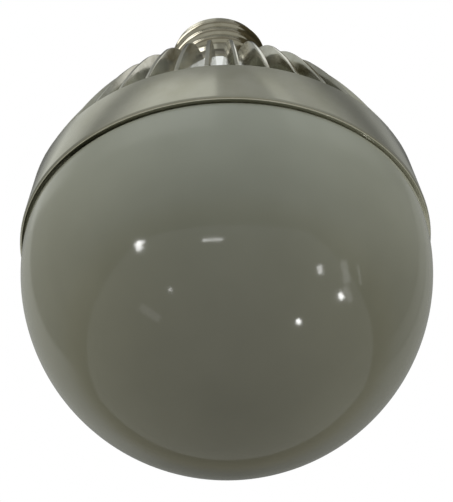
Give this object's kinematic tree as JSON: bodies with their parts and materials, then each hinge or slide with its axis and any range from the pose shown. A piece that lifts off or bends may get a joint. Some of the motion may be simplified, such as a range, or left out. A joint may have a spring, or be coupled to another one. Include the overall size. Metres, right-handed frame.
{
  "type": "led light bulb",
  "caption": "Globe LED lamp: milky globe in a smooth metal band, radial cooling fins, LED board and driver inside, Edison screw cap.",
  "frame": {"origin": "tip of the centre contact, the point that meets the lampholder first", "axes": "+Z along the lamp's axis, out of the cap; the globe lies along -Z, and -Y is the side seen in the picture"},
  "size_m": [0.097, 0.097, 0.1395],
  "materials": {
    "opal_globe": "glossy milky polycarbonate",
    "cast_aluminium": "polished and lightly brushed",
    "nickel_plate": "bright nickel plate on rolled sheet",
    "contact_brass": "tinned brass",
    "black_glass": "glossy opaque glass",
    "white_housing": "moulded, satin",
    "silicone_white": "cured silicone bead",
    "pad_grey": "soft gap pad",
    "board_white": "white solder mask on aluminium",
    "led_phosphor": "phosphor resin in a white frame",
    "zinc_steel": "zinc plated",
    "board_green": "solder mask",
    "ferrite": "sintered, matt",
    "bobbin_black": "moulded",
    "winding_tape": "yellow polyester tape",
    "can_sleeve": "shrunk sleeve",
    "film_box": "moulded box",
    "resistor_coat": "flameproof coating",
    "choke_sleeve": "shrunk sleeve",
    "chip_black": "moulded epoxy",
    "small_part_tan": "fired ceramic",
    "lead_red": "insulated lead",
    "lead_black": "insulated lead",
    "lead_brown": "insulated lead",
    "lead_blue": "insulated lead"
  },
  "bodies": {
    "root": {"globe_cover": "opal_globe", "heat_sink": "cast_aluminium", "cooling_fins": "cast_aluminium", "cap_shell": "nickel_plate", "centre_contact": "contact_brass", "cap_insulator": "black_glass", "driver_housing": "white_housing", "cover_sealant": "silicone_white", "thermal_pad": "pad_grey", "led_board": "board_white", "led_packages": "led_phosphor", "board_screws": "zinc_steel", "housing_screws": "zinc_steel", "driver_board": "board_green", "transformer_core": "ferrite", "transformer_bobbin": "bobbin_black", "transformer_winding": "winding_tape", "input_capacitor": "can_sleeve", "output_capacitor": "can_sleeve", "film_capacitor": "film_box", "fuse_resistor": "resistor_coat", "input_choke": "choke_sleeve", "bridge_rectifier": "chip_black", "driver_chip": "chip_black", "output_diode": "chip_black", "chip_components": "small_part_tan", "output_lead_positive": "lead_red", "output_lead_negative": "lead_black", "live_lead": "lead_brown", "neutral_lead": "lead_blue"}
  },
  "joints": []
}
